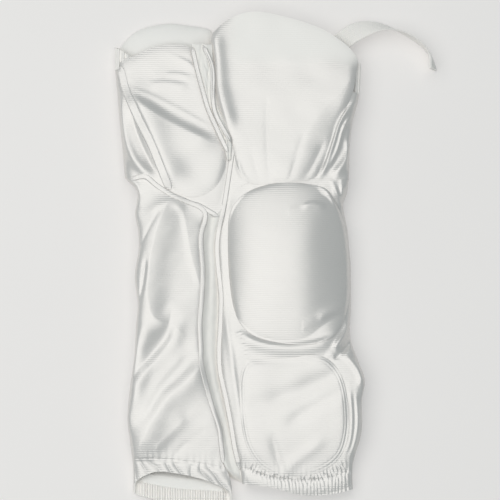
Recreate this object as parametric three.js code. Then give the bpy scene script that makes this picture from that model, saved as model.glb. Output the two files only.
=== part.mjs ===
// Padded football pants, laid on their back with the waist away from the viewer.
// Millimetres: +X to the viewer's right, +Y towards the waist, +Z up from the surface.
// Left and right are the viewer's. The origin is under the middle of the whole object.
import * as THREE from "three";

// Driving dimensions
const CLOTH = 1.8; // wall of the satin and its backing
const GUSSET_CLOTH = 1.6; // wall of the stretch strip between the legs
const ELASTIC = 2.4; // wall of the gathered waistband and cuffs
const GATHER = 1.3; // depth of the gathers in the elastic
const SIDE_FOLD = 9; // height of the folded side edges above the surface
const SEAM_GAP = 0.6; // clearance where two walls are sewn end to end
const LEG_SEAM_GAP = 2.5; // the same at the legs' curved seam
const PAD_LIFT = 2.2; // clearance between a pad and the cloth under it
const PAD_RIM = 3.5; // thickness of a pad at its sewn rim
const HIP_PAD = 17; // thickness of the pads at their crowns
const TAIL_PAD = 12;
const THIGH_PAD = 15;
const KNEE_PAD = 13;
const GUSSET_HEIGHT = 15; // height at which the strip between the legs is sewn to them
const GUSSET_DIP = 3.5; // how far it sags between its edges
const GUSSET_GAP = 1.6; // clearance to the legs that it is sewn to
const STRAP_WIDTH = 27;
const STRAP = 2; // thickness of the belt strap
const STRAP_HEM = 4.2; // thickness of its folded end
const STRAP_HEM_FROM = 0.88; // share of the strap's length where the folded end starts
const FLY_CLOTH = 2.2; // thickness of the crumpled fly strip
const FLY_LIFT = 3.2; // clearance under it, over the valley between the hip pads
const FLY_CRUMPLE = 2; // height of its crumples
const FLY_SLANT = 9; // how far the crumples drift sideways along it, as an angle
const BASE_FLAT = 0.84; // share of the cloth's half width that lies flat

// Cross sections of the cloth, from the waist down: its two side edges, the height of its
// crown, and how flat the top is (2 is an ellipse, more is flatter).
const SEAT_SECTIONS = [
  { y: 340, left: -186, right: 152, crown: 26, power: 6 },
  { y: 254, left: -185, right: 152, crown: 28, power: 6 },
  { y: 211, left: -181, right: 149, crown: 29, power: 6 },
  { y: 175, left: -178, right: 140, crown: 30, power: 6 },
  { y: 138, left: -174, right: 135, crown: 31, power: 6 },
  { y: 97, left: -170, right: 135, crown: 32, power: 5 },
  { y: 50, left: -160, right: 132, crown: 33, power: 5 },
];
const RIGHT_LEG_SECTIONS = [
  { y: 100, left: -31, right: 135, crown: 32, power: 4 },
  { y: 60, left: -37, right: 129, crown: 36, power: 3 },
  { y: 20, left: -42, right: 133, crown: 40, power: 2.2 },
  { y: -50, left: -38, right: 138, crown: 40, power: 2.2 },
  { y: -97, left: -28, right: 137, crown: 36, power: 2.4 },
  { y: -134, left: -23, right: 143, crown: 31, power: 2.8 },
  { y: -175, left: -24, right: 156, crown: 29, power: 3 },
  { y: -215, left: -24, right: 155, crown: 29, power: 3 },
  { y: -255, left: -16, right: 149, crown: 28, power: 3 },
  { y: -300, left: -3, right: 140, crown: 24, power: 3 },
  { y: -340, left: -6, right: 139, crown: 21, power: 3 },
];
const LEFT_LEG_SECTIONS = [
  { y: 110, left: -171, right: -62, crown: 31, power: 4 },
  { y: 80, left: -158, right: -62, crown: 34, power: 3.4 },
  { y: 51, left: -154, right: -64, crown: 38, power: 3 },
  { y: 14, left: -152, right: -70, crown: 42, power: 2.4 },
  { y: -60, left: -154, right: -68, crown: 44, power: 2.4 },
  { y: -138, left: -155, right: -71, crown: 43, power: 2.4 },
  { y: -184, left: -160, right: -66, crown: 41, power: 2.4 },
  { y: -231, left: -163, right: -53, crown: 37, power: 2.6 },
  { y: -267, left: -160, right: -42, crown: 32, power: 2.8 },
  { y: -290, left: -157, right: -36, crown: 28, power: 2.8 },
  { y: -350, left: -157, right: -24, crown: 26, power: 2.8 },
];

// Edges that cross the pants, as distance along the legs against the distance from side to side.
const WAISTBAND_EDGES = [
  { x: -186, top: 283, seam: 250 },
  { x: -68, top: 288, seam: 254 },
  { x: 60, top: 276, seam: 240 },
  { x: 152, top: 259, seam: 214 },
];
const LEG_SEAM = [
  { x: -172, y: 103 },
  { x: -139, y: 89 },
  { x: -82, y: 66 },
  { x: -56, y: 60 },
  { x: -22, y: 82 },
  { x: 20, y: 95 },
  { x: 140, y: 95 },
];
// A cuff's mouth: where its upper (front) and lower (back) layers end.
const RIGHT_CUFF_EDGES = [
  { x: -6, seam: -297, front: -320, back: -318 },
  { x: 27, seam: -308, front: -324, back: -322 },
  { x: 68, seam: -313, front: -334, back: -332 },
  { x: 109, seam: -309, front: -333, back: -331 },
  { x: 142, seam: -298, front: -326, back: -324 },
];
const LEFT_CUFF_EDGES = [
  { x: -162, seam: -284, front: -308, back: -327 },
  { x: -122, seam: -285, front: -306, back: -341 },
  { x: -82, seam: -288, front: -312, back: -347 },
  { x: -26, seam: -299, front: -327, back: -347 },
];

// Folds: a ridge (or, with a negative rise, a valley) from one point to another.
const SEAT_FOLDS = [
  { fromX: -66, fromY: 300, toX: -34, toY: 150, width: 12, rise: -7 },
  { fromX: -34, fromY: 150, toX: -50, toY: 60, width: 14, rise: -10 },
  { fromX: -166, fromY: 165, toX: -150, toY: 105, width: 8, rise: 4 },
  { fromX: 132, fromY: 146, toX: 119, toY: 95, width: 6, rise: 4 },
];
const LEFT_LEG_FOLDS = [
  { fromX: -112, fromY: 52, toX: -137, toY: -55, width: 10, rise: 5 },
  { fromX: -90, fromY: 52, toX: -70, toY: -40, width: 10, rise: 4 },
  { fromX: -130, fromY: -97, toX: -100, toY: -104, width: 10, rise: 5 },
  { fromX: -100, fromY: -108, toX: -156, toY: -195, width: 11, rise: 7 },
  { fromX: -80, fromY: -150, toX: -140, toY: -215, width: 9, rise: -5 },
  { fromX: -70, fromY: -165, toX: -148, toY: -255, width: 10, rise: 7 },
  { fromX: -92, fromY: -238, toX: -142, toY: -276, width: 9, rise: 4 },
];
const RIGHT_LEG_FOLDS = [
  { fromX: 0, fromY: -132, toX: 110, toY: -134, width: 5, rise: 3 },
  { fromX: 132, fromY: -138, toX: 149, toY: -170, width: 6, rise: 5 },
];
const LEFT_HIP_PAD_FOLDS = [
  { fromX: -168, fromY: 222, toX: -56, toY: 162, width: 8, rise: -5 },
  { fromX: -130, fromY: 240, toX: -84, toY: 238, width: 8, rise: -2 },
];
const RIGHT_HIP_PAD_FOLDS = [
  { fromX: -36, fromY: 292, toX: -24, toY: 190, width: 10, rise: -6 },
  { fromX: 26, fromY: 128, toX: 26, toY: 96, width: 8, rise: -3 },
  { fromX: 66, fromY: 134, toX: 53, toY: 98, width: 8, rise: -3 },
];
const KNEE_PAD_FOLDS = [
  { fromX: 19, fromY: -206, toX: 114, toY: -174, width: 13, rise: -2.5 },
  { fromX: 79, fromY: -224, toX: 114, toY: -200, width: 11, rise: -2 },
];

// Outlines of the tongue-shaped pads, corner by corner.
const LEFT_HIP_PAD_OUTLINE = [
  { x: -174, y: 256 },
  { x: -172, y: 224 },
  { x: -160, y: 196 },
  { x: -142, y: 163 },
  { x: -123, y: 128 },
  { x: -107, y: 88 },
  { x: -84, y: 72 },
  { x: -52, y: 82 },
  { x: -39, y: 112 },
  { x: -46, y: 156 },
  { x: -60, y: 194 },
  { x: -70, y: 230 },
  { x: -84, y: 277 },
  { x: -106, y: 284 },
  { x: -138, y: 278 },
];
const RIGHT_HIP_PAD_OUTLINE = [
  { x: -50, y: 288 },
  { x: -46, y: 240 },
  { x: -42, y: 200 },
  { x: -26, y: 148 },
  { x: -15, y: 110 },
  { x: 6, y: 96 },
  { x: 45, y: 99 },
  { x: 88, y: 98 },
  { x: 109, y: 128 },
  { x: 131, y: 184 },
  { x: 139, y: 224 },
  { x: 143, y: 262 },
  { x: 113, y: 296 },
  { x: 60, y: 321 },
  { x: 0, y: 329 },
  { x: -36, y: 315 },
];
const TAIL_PAD_OUTLINE = [
  { x: -167, y: 255 },
  { x: -168, y: 287 },
  { x: -146, y: 307 },
  { x: -108, y: 316 },
  { x: -66, y: 308 },
  { x: -34, y: 286 },
  { x: -30, y: 236 },
  { x: -62, y: 160 },
  { x: -100, y: 136 },
  { x: -140, y: 160 },
];
// Rounded pads: a superellipse that leans sideways and narrows towards the cuff.
const THIGH_PAD_OUTLINE = {
  x: 49, y: -15, halfWidth: 83, halfHeight: 107, power: 2.9, lean: -0.05, taper: 0,
};
const KNEE_PAD_OUTLINE = {
  x: 60, y: -224, halfWidth: 69, halfHeight: 81, power: 2.6, lean: -0.02, taper: 0.09,
};

// The fly strip between its two bound edges.
const FLY_EDGES = [
  { y: 284, left: -80, right: -57 },
  { y: 252, left: -72, right: -52 },
  { y: 225, left: -65, right: -50 },
  { y: 196, left: -56, right: -46 },
  { y: 164, left: -43, right: -36 },
];

// The belt strap's middle line, its height, and how far it has turned from flat to on edge,
// with its inner edge up.
const STRAP_ROUTE = [
  { x: 108, y: 274, z: 17, roll: 0 },
  { x: 129, y: 294, z: 17, roll: 3 },
  { x: 150, y: 307, z: 16.5, roll: 16 },
  { x: 174, y: 312.5, z: 15.5, roll: 48 },
  { x: 199, y: 309, z: 14.6, roll: 76 },
  { x: 221, y: 299, z: 14.2, roll: 87 },
  { x: 239, y: 285, z: 14, roll: 88 },
  { x: 248.5, y: 269, z: 14, roll: 82 },
  { x: 251.4, y: 253, z: 14, roll: 70 },
];

// Steps of the faceted surfaces
const SEAT_STEPS = { rows: 7, over: 28, under: 18 };
const LEFT_LEG_STEPS = { rows: 22, over: 16, under: 6 };
const RIGHT_LEG_STEPS = { rows: 20, over: 16, under: 10 };
const WAISTBAND_STEPS = { rows: 2, over: 44, under: 18 };
const CUFF_STEPS = { rows: 2, over: 36, under: 12 };
const PAD_STEPS = { rings: 6, around: 30 };
const TAIL_PAD_STEPS = { rings: 3, around: 24 };
const GUSSET_STEPS = { rows: 22, across: 4 };
const FLY_STEPS = { rows: 14, across: 4 };
const STRAP_STEPS = 30;
const PASSES = 4; // rounds that settle a point between sides and ends that curve

// A smooth function through one column of a table, against another column.
function columnOf(table, against, name) {
  const rows = [...table].sort((a, b) => a[against] - b[against]);
  const at = rows.map((row) => row[against]);
  const value = rows.map((row) => row[name]);
  const last = rows.length - 1;
  const slope = rows.map((_, i) => {
    const before = Math.max(i - 1, 0);
    const after = Math.min(i + 1, last);
    return (value[after] - value[before]) / (at[after] - at[before]);
  });
  return (wanted) => {
    const s = THREE.MathUtils.clamp(wanted, at[0], at[last]);
    let i = 0;
    while (i < last - 1 && s > at[i + 1]) i += 1;
    const span = at[i + 1] - at[i];
    const t = (s - at[i]) / span;
    const bend = t * t * (3 - 2 * t);
    const leave = t * (1 - t) * (1 - t) * span * slope[i];
    const arrive = t * t * (t - 1) * span * slope[i + 1];
    return value[i] * (1 - bend) + value[i + 1] * bend + leave + arrive;
  };
}

// Height that a table of folds adds at a point, fading at each fold's ends.
function foldRise(folds, x, y) {
  let rise = 0;
  for (const fold of folds) {
    const alongX = fold.toX - fold.fromX;
    const alongY = fold.toY - fold.fromY;
    const share = ((x - fold.fromX) * alongX + (y - fold.fromY) * alongY)
      / (alongX * alongX + alongY * alongY);
    const t = THREE.MathUtils.clamp(share, 0, 1);
    const away = Math.hypot(x - fold.fromX - t * alongX, y - fold.fromY - t * alongY);
    rise += fold.rise * Math.exp(-((away / fold.width) ** 2));
  }
  return rise;
}

// The cloth's cross section: an arch over the top and a flat base with turned-up edges.
function arch(u, power) {
  return Math.sqrt(Math.max(1 - Math.abs(u) ** power, 0));
}
function turnUp(u) {
  const past = Math.max((Math.abs(u) - BASE_FLAT) / (1 - BASE_FLAT), 0);
  return 1 - Math.sqrt(1 - past * past);
}

// A length of cloth from its sections and folds, as functions of the place on it.
function clothForm(sections, folds) {
  const left = columnOf(sections, "y", "left");
  const right = columnOf(sections, "y", "right");
  const crown = columnOf(sections, "y", "crown");
  const power = columnOf(sections, "y", "power");
  const middle = (y) => (left(y) + right(y)) / 2;
  const half = (y) => (right(y) - left(y)) / 2;
  const smoothAt = (u, y, inset, rise) => {
    return SIDE_FOLD + arch(u, power(y)) * (crown(y) - inset - SIDE_FOLD + rise);
  };
  const topAt = (u, x, y, inset) => smoothAt(u, y, inset, foldRise(folds, x, y));
  const across = (x, y) => THREE.MathUtils.clamp((x - middle(y)) / half(y), -1, 1);
  const top = (x, y) => topAt(across(x, y), x, y, 0);
  const smoothTop = (x, y) => smoothAt(across(x, y), y, 0, 0);
  return { left, right, middle, half, topAt, top, smoothTop };
}

// A closed mesh from points and triangles, with its faces pointing out.
function closedGeometry(points, triangles) {
  let volume = 0;
  for (const [a, b, c] of triangles) {
    volume += points[a].dot(points[b].clone().cross(points[c]));
  }
  const outward = volume < 0 ? triangles.map(([a, b, c]) => [a, c, b]) : triangles;
  const geometry = new THREE.BufferGeometry();
  geometry.setFromPoints(points);
  geometry.setIndex(outward.flat());
  geometry.computeVertexNormals();
  return geometry;
}

// The triangles between two closed rings of points.
function stitch(rowA, rowB) {
  const triangles = [];
  for (let i = 0; i < rowA.length; i += 1) {
    const j = (i + 1) % rowA.length;
    triangles.push([rowA[i], rowA[j], rowB[j]], [rowA[i], rowB[j], rowB[i]]);
  }
  return triangles;
}

// A wall of cloth that closes round on itself and is open at both ends. upper and lower give
// the two ends' places from x and from how high up the arch the point is.
function clothTube({ form, upper, lower, wall, gather = 0, steps }) {
  const points = [];
  const triangles = [];
  const loop = [];
  for (let i = 0; i < steps.over; i += 1) {
    loop.push({ u: -Math.cos((Math.PI * i) / steps.over), over: true });
  }
  for (let i = 0; i < steps.under; i += 1) {
    loop.push({ u: Math.cos((Math.PI * i) / steps.under), over: false });
  }
  const ringAt = (t, inset) => loop.map(({ u, over }, i) => {
    const share = over ? arch(u, 2) : 0;
    const tuck = inset + (over && i % 2 ? gather : 0);
    let x = form.middle(lower(0, share));
    let y = 0;
    for (let pass = 0; pass < PASSES; pass += 1) {
      y = THREE.MathUtils.lerp(upper(x, share), lower(x, share), t);
      x = form.middle(y) + (form.half(y) - inset) * u;
    }
    const base = inset + (SIDE_FOLD - inset) * turnUp(u);
    const z = over ? form.topAt(u, x, y, tuck) : base;
    points.push(new THREE.Vector3(x, y, z));
    return points.length - 1;
  });
  const outer = [];
  const inner = [];
  for (let row = 0; row <= steps.rows; row += 1) {
    outer.push(ringAt(row / steps.rows, 0));
    inner.push(ringAt(row / steps.rows, wall));
  }
  for (let row = 0; row < steps.rows; row += 1) {
    triangles.push(...stitch(outer[row], outer[row + 1]));
    triangles.push(...stitch(inner[row + 1], inner[row]));
  }
  triangles.push(...stitch(inner[0], outer[0]));
  triangles.push(...stitch(outer[steps.rows], inner[steps.rows]));
  return closedGeometry(points, triangles);
}

// A crowned pad inside an outline, lying on a base surface.
function padGeometry({ outline, base, thickness, folds = [], steps }) {
  const middle = outline.reduce((sum, p) => sum.add(p), new THREE.Vector2())
    .divideScalar(outline.length);
  const points = [];
  const triangles = [];
  const add = (x, y, z) => points.push(new THREE.Vector3(x, y, z)) - 1;
  const crownAt = (x, y, reach) => {
    const swell = (thickness - PAD_RIM + foldRise(folds, x, y)) * Math.sqrt(1 - reach ** 4);
    return base(x, y) + PAD_RIM + swell;
  };
  const topRings = [];
  const bottomRings = [];
  for (let ring = 1; ring <= steps.rings; ring += 1) {
    const reach = Math.sin((Math.PI / 2) * (ring / steps.rings));
    const places = outline.map((p) => p.clone().sub(middle).multiplyScalar(reach).add(middle));
    topRings.push(places.map((p) => add(p.x, p.y, crownAt(p.x, p.y, reach))));
    bottomRings.push(places.map((p) => add(p.x, p.y, base(p.x, p.y))));
  }
  const topMiddle = add(middle.x, middle.y, crownAt(middle.x, middle.y, 0));
  const bottomMiddle = add(middle.x, middle.y, base(middle.x, middle.y));
  for (let i = 0; i < outline.length; i += 1) {
    const j = (i + 1) % outline.length;
    triangles.push([topMiddle, topRings[0][i], topRings[0][j]]);
    triangles.push([bottomMiddle, bottomRings[0][j], bottomRings[0][i]]);
  }
  for (let ring = 0; ring < steps.rings - 1; ring += 1) {
    triangles.push(...stitch(topRings[ring + 1], topRings[ring]));
    triangles.push(...stitch(bottomRings[ring], bottomRings[ring + 1]));
  }
  const rim = steps.rings - 1;
  triangles.push(...stitch(bottomRings[rim], topRings[rim]));
  return closedGeometry(points, triangles);
}

// A smooth closed outline through a table's corners.
function curvedOutline(corners, around) {
  const bends = corners.map(({ x, y }) => new THREE.Vector3(x, y, 0));
  const curve = new THREE.CatmullRomCurve3(bends, true, "centripetal");
  return curve.getSpacedPoints(around).slice(0, around).map((p) => new THREE.Vector2(p.x, p.y));
}

// A superellipse that leans sideways and narrows towards -Y.
function roundedOutline(pad, around) {
  return Array.from({ length: around }, (_, i) => {
    const angle = (2 * Math.PI * i) / around;
    const round = (value) => Math.sign(value) * Math.abs(value) ** (2 / pad.power);
    const v = round(Math.sin(angle));
    const across = round(Math.cos(angle)) * (1 + pad.taper * v);
    const y = pad.halfHeight * v;
    return new THREE.Vector2(pad.x + pad.halfWidth * across + pad.lean * y, pad.y + y);
  });
}

// A strip of cloth between two edges, on a surface that gives its underside.
function stripGeometry({ left, right, underside, top, bottom, thickness, steps }) {
  const points = [];
  const triangles = [];
  const rows = [];
  for (let row = 0; row <= steps.rows; row += 1) {
    const along = row / steps.rows;
    const low = [];
    const high = [];
    for (let i = 0; i <= steps.across; i += 1) {
      const share = i / steps.across;
      let x = (left(0) + right(0)) / 2;
      let y = 0;
      for (let pass = 0; pass < PASSES; pass += 1) {
        y = THREE.MathUtils.lerp(top(x), bottom(x), along);
        x = THREE.MathUtils.lerp(left(y), right(y), share);
      }
      const z = underside(x, y, share, along);
      low.push(points.push(new THREE.Vector3(x, y, z)) - 1);
      high.push(points.push(new THREE.Vector3(x, y, z + thickness)) - 1);
    }
    rows.push([...high, ...low.reverse()]);
  }
  for (let row = 0; row < steps.rows; row += 1) {
    triangles.push(...stitch(rows[row], rows[row + 1]));
  }
  const capAt = (loop) => {
    const caps = [];
    for (let i = 0; i < steps.across; i += 1) {
      const far = loop.length - 1 - i;
      caps.push([loop[i], loop[i + 1], loop[far - 1]], [loop[i], loop[far - 1], loop[far]]);
    }
    return caps;
  };
  triangles.push(...capAt(rows[0]).map(([a, b, c]) => [a, c, b]));
  triangles.push(...capAt(rows[steps.rows]));
  return closedGeometry(points, triangles);
}

// The flat strap swept along its route, turning on edge, with a thicker folded end.
function strapGeometry() {
  const route = new THREE.CatmullRomCurve3(
    STRAP_ROUTE.map(({ x, y, z }) => new THREE.Vector3(x, y, z)), false, "centripetal");
  const turns = STRAP_ROUTE.map((row, i) => ({ share: i / (STRAP_ROUTE.length - 1), roll: row.roll }));
  const rollAt = columnOf(turns, "share", "roll");
  const up = new THREE.Vector3(0, 0, 1);
  const points = [];
  const triangles = [];
  const loops = [];
  for (let step = 0; step <= STRAP_STEPS; step += 1) {
    const share = step / STRAP_STEPS;
    const middle = route.getPoint(share);
    const ahead = route.getTangent(share);
    const side = ahead.clone().cross(up).normalize();
    const roll = THREE.MathUtils.degToRad(rollAt(share));
    const across = side.clone().multiplyScalar(Math.cos(roll)).addScaledVector(up, Math.sin(roll));
    const face = across.clone().cross(ahead).normalize();
    const thickness = share > STRAP_HEM_FROM ? STRAP_HEM : STRAP;
    const corners = [[-1, -1], [1, -1], [1, 1], [-1, 1]];
    loops.push(corners.map(([a, b]) => {
      const corner = middle.clone().addScaledVector(across, (a * STRAP_WIDTH) / 2)
        .addScaledVector(face, (b * thickness) / 2);
      return points.push(corner) - 1;
    }));
  }
  for (let step = 0; step < STRAP_STEPS; step += 1) {
    triangles.push(...stitch(loops[step], loops[step + 1]));
  }
  const [a, b, c, d] = loops[0];
  const [e, f, g, h] = loops[STRAP_STEPS];
  triangles.push([a, c, b], [a, d, c], [e, f, g], [e, g, h]);
  return closedGeometry(points, triangles);
}

const satin = new THREE.MeshStandardMaterial({ color: 0xf0f1ee, roughness: 0.4, metalness: 0 });
const matte = new THREE.MeshStandardMaterial({ color: 0xe3e4e2, roughness: 0.85, metalness: 0 });
const elastic = new THREE.MeshStandardMaterial({ color: 0xeeeeeb, roughness: 0.75, metalness: 0 });
const lining = new THREE.MeshStandardMaterial({ color: 0xebebe8, roughness: 0.9, metalness: 0 });

const seatForm = clothForm(SEAT_SECTIONS, SEAT_FOLDS);
const leftLegForm = clothForm(LEFT_LEG_SECTIONS, LEFT_LEG_FOLDS);
const rightLegForm = clothForm(RIGHT_LEG_SECTIONS, RIGHT_LEG_FOLDS);
const waistTop = columnOf(WAISTBAND_EDGES, "x", "top");
const waistSeam = columnOf(WAISTBAND_EDGES, "x", "seam");
const legSeam = columnOf(LEG_SEAM, "x", "y");

const pants = new THREE.Group();
function addPiece(name, geometry, material) {
  const piece = new THREE.Mesh(geometry, material);
  piece.name = name;
  pants.add(piece);
}

// Cloth: waistband, seat, legs and cuffs, end to end
addPiece("waistband", clothTube({
  form: seatForm, upper: waistTop, lower: waistSeam, wall: ELASTIC, gather: GATHER,
  steps: WAISTBAND_STEPS,
}), elastic);
addPiece("seat", clothTube({
  form: seatForm, upper: (x) => waistSeam(x) - SEAM_GAP, lower: legSeam, wall: CLOTH,
  steps: SEAT_STEPS,
}), satin);
const legs = [
  { side: "left", form: leftLegForm, edges: LEFT_CUFF_EDGES, steps: LEFT_LEG_STEPS },
  { side: "right", form: rightLegForm, edges: RIGHT_CUFF_EDGES, steps: RIGHT_LEG_STEPS },
];
for (const { side, form, edges, steps } of legs) {
  const seam = columnOf(edges, "x", "seam");
  const front = columnOf(edges, "x", "front");
  const back = columnOf(edges, "x", "back");
  addPiece(`leg_${side}`, clothTube({
    form, upper: (x) => legSeam(x) - LEG_SEAM_GAP, lower: seam, wall: CLOTH, steps,
  }), satin);
  addPiece(`cuff_${side}`, clothTube({
    form, upper: (x) => seam(x) - SEAM_GAP,
    lower: (x, share) => THREE.MathUtils.lerp(back(x), front(x), share),
    wall: ELASTIC, gather: GATHER, steps: CUFF_STEPS,
  }), elastic);
}

// The stretch strip between the legs
const cuffSeamLeft = columnOf(LEFT_CUFF_EDGES, "x", "seam");
addPiece("gusset", stripGeometry({
  left: (y) => leftLegForm.right(y) + GUSSET_GAP,
  right: (y) => rightLegForm.left(y) - GUSSET_GAP,
  top: (x) => legSeam(x) - LEG_SEAM_GAP,
  bottom: cuffSeamLeft,
  underside: (x, y, share) => GUSSET_HEIGHT - GUSSET_DIP * Math.sin(Math.PI * share),
  thickness: GUSSET_CLOTH, steps: GUSSET_STEPS,
}), matte);

// The fly strip, crumpled across
addPiece("fly_placket", stripGeometry({
  left: columnOf(FLY_EDGES, "y", "left"),
  right: columnOf(FLY_EDGES, "y", "right"),
  top: () => FLY_EDGES[0].y,
  bottom: () => FLY_EDGES[FLY_EDGES.length - 1].y,
  underside: (x, y, share, along) => seatForm.top(x, y) + FLY_LIFT
    + FLY_CRUMPLE * Math.abs(Math.sin(2 * Math.PI * share + FLY_SLANT * along)),
  thickness: FLY_CLOTH, steps: FLY_STEPS,
}), matte);

// Pads on the cloth, and the one at the back that lies on the inside of the seat
const onSeat = (x, y) => seatForm.smoothTop(x, y) + PAD_LIFT;
const onLeg = (x, y) => rightLegForm.smoothTop(x, y) + PAD_LIFT;
addPiece("hip_pad_left", padGeometry({
  outline: curvedOutline(LEFT_HIP_PAD_OUTLINE, PAD_STEPS.around),
  base: onSeat, thickness: HIP_PAD, folds: LEFT_HIP_PAD_FOLDS, steps: PAD_STEPS,
}), satin);
addPiece("hip_pad_right", padGeometry({
  outline: curvedOutline(RIGHT_HIP_PAD_OUTLINE, PAD_STEPS.around),
  base: onSeat, thickness: HIP_PAD, folds: RIGHT_HIP_PAD_FOLDS, steps: PAD_STEPS,
}), satin);
addPiece("tail_pad", padGeometry({
  outline: curvedOutline(TAIL_PAD_OUTLINE, TAIL_PAD_STEPS.around),
  base: () => ELASTIC + PAD_LIFT, thickness: TAIL_PAD, steps: TAIL_PAD_STEPS,
}), lining);
addPiece("thigh_pad", padGeometry({
  outline: roundedOutline(THIGH_PAD_OUTLINE, PAD_STEPS.around),
  base: onLeg, thickness: THIGH_PAD, steps: PAD_STEPS,
}), satin);
addPiece("knee_pad", padGeometry({
  outline: roundedOutline(KNEE_PAD_OUTLINE, PAD_STEPS.around),
  base: onLeg, thickness: KNEE_PAD, folds: KNEE_PAD_FOLDS, steps: PAD_STEPS,
}), satin);

addPiece("belt_strap", strapGeometry(), elastic);

// The origin goes under the middle of the whole object.
const extent = new THREE.Box3().setFromObject(pants);
const centre = extent.getCenter(new THREE.Vector3());
pants.position.set(-centre.x, -centre.y, -extent.min.z);

export default pants;
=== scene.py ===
import bpy
import math
import numpy as np
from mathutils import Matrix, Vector
from mathutils.bvhtree import BVHTree


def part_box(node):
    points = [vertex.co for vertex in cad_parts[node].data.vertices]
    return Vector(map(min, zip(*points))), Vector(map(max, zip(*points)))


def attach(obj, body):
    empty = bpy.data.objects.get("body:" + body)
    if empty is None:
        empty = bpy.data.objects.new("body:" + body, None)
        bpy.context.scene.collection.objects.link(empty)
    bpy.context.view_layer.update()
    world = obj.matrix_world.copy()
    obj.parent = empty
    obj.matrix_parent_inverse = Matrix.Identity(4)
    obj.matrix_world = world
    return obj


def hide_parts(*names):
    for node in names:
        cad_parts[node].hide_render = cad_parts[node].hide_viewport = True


# Padded football pants of white satin, laid on their back with the waist away from the viewer.
# Left and right are the viewer's. Sizes are in millimetres, in the frame that the pants were
# drawn in, and add_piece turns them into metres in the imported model's frame.
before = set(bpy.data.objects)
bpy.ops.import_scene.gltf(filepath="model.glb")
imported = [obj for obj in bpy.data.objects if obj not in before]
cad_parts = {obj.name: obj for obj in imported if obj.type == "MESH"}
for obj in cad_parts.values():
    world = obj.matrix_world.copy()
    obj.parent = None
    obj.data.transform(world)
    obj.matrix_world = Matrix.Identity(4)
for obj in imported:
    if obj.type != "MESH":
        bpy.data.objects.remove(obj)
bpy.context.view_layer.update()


# Seat: the satin body of the pants from the waistband to the legs, a flattened tube of knitted
# satin about 2 mm thick with its backing. It is sewn to the waistband and, along the leg seam,
# to the legs, and its sides hang in soft folds below the hip pads.
BASE_FLAT = 0.84
CLOTH_WALL = 1.8
SETTLING_ROUNDS = 4
FOLD_STEP = 2.5
FOLD_BLEND = 3
FOLD_TAPER = 0.22
FOLD_REACH = 2.4
CRISP_REACH = 3
CREASE_RADIUS = 0.6
CURVE_STEPS = 24
RIPPLE_WAVES = 6
RIPPLE_SPREAD = (0.6, 1.5)
RELIEF_HOLD = 1.6
EVEN_SPREAD = 0.45
MM_PER_METRE = 1000
MM_PER_PIXEL = 1.36
PHOTO_MIDDLE = 250
VIEW_DISTANCE = 5000
VIEW_ELEVATION = math.radians(80)
VIEW_AIM_HEIGHT = 20
SEAT_HEIGHT = 34
SEAT_LEFT_FOLD = 0.6
SEAT_RIGHT_FOLD = 0.78
SEAT_SLACK = 0.5
WAIST_SEAM_GAP = 0.6

seat_sections = [
    # along, left side, right side, crown height, flatness
    (340, -186, 152, 28, 12),
    (254, -185, 152, 30, 16),
    (211, -181, 149, 32, 18),
    (175, -178, 140, 33, 18),
    (138, -174, 136, 35, 18),
    (97, -170, 135, 37, 16),
    (50, -160, 132, 38, 12),
]
waistband_edges = [
    # across, top edge, seam to the seat
    (-186, 283, 250),
    (-68, 288, 254),
    (60, 276, 240),
    (152, 259, 214),
]
leg_seam_points = [
    # across, along
    (-172, 99),
    (-142, 99),
    (-126, 86),
    (-107, 74),
    (-85, 64),
    (-69, 57),
    (-57, 50),
    (-45, 46),
    (-30, 66),
    (-14, 84),
    (20, 93),
    (140, 95),
]
seat_swells_in_photo = [
    # line of the fold, rise, width on its left, width on its right, crispness
    ([(122, 84), (139, 120), (151, 144), (160, 166), (172, 196)], 5.0, 32, 18, 0),
    ([(374, 50), (346, 86), (318, 117), (300, 148), (284, 184), (276, 206)], 6.5, 32, 80, 0.3),
]
seat_folds_in_photo = [
    ([(123, 88), (118, 105), (120, 121), (125, 141), (132, 157), (142, 170), (158, 184)], 4.5, 8, 6, 0),
    ([(130, 106), (136, 130), (146, 154), (160, 182)], -3.0, 6, 6, 0.6),
    ([(357, 98), (341, 121), (333, 145), (325, 168), (316, 182)], 3.6, 4, 3, 0),
    ([(352, 112), (343, 130), (337, 150), (327, 172)], 2.8, 3, 3, 0),
    ([(348, 137), (350, 150), (344, 164), (332, 178)], 4.5, 7, 6, 0),
    ([(232, 150), (228, 172), (223, 195), (219, 210)], -1.2, 8, 7, 0.6),
    ([(237, 160), (241, 174), (249, 184)], 2.0, 4, 4, 0),
]


def ease(share):
    """A share, held between 0 and 1, that leaves and arrives gently."""
    t = np.clip(share, 0, 1)
    return t * t * (3 - 2 * t)


def smooth(at, value):
    """A smooth function through values at places, level past the first and the last."""
    order = np.argsort(at)
    at = np.asarray(at, float)[order]
    value = np.asarray(value, float)[order]
    last = len(at) - 1
    before = np.maximum(np.arange(last + 1) - 1, 0)
    after = np.minimum(np.arange(last + 1) + 1, last)
    slope = (value[after] - value[before]) / (at[after] - at[before])

    def read(wanted):
        s = np.clip(wanted, at[0], at[-1])
        i = np.clip(np.searchsorted(at, s) - 1, 0, last - 1)
        span = at[i + 1] - at[i]
        t = (s - at[i]) / span
        bend = ease(t)
        leave = t * (1 - t) ** 2 * span * slope[i]
        arrive = t * t * (t - 1) * span * slope[i + 1]
        return value[i] * (1 - bend) + value[i + 1] * bend + leave + arrive

    return read


def smooth_columns(rows):
    """Smooth functions of a table's first column, one for each of its other columns."""
    at, *values = np.array(rows, float).T
    return [smooth(at, value) for value in values]


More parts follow.
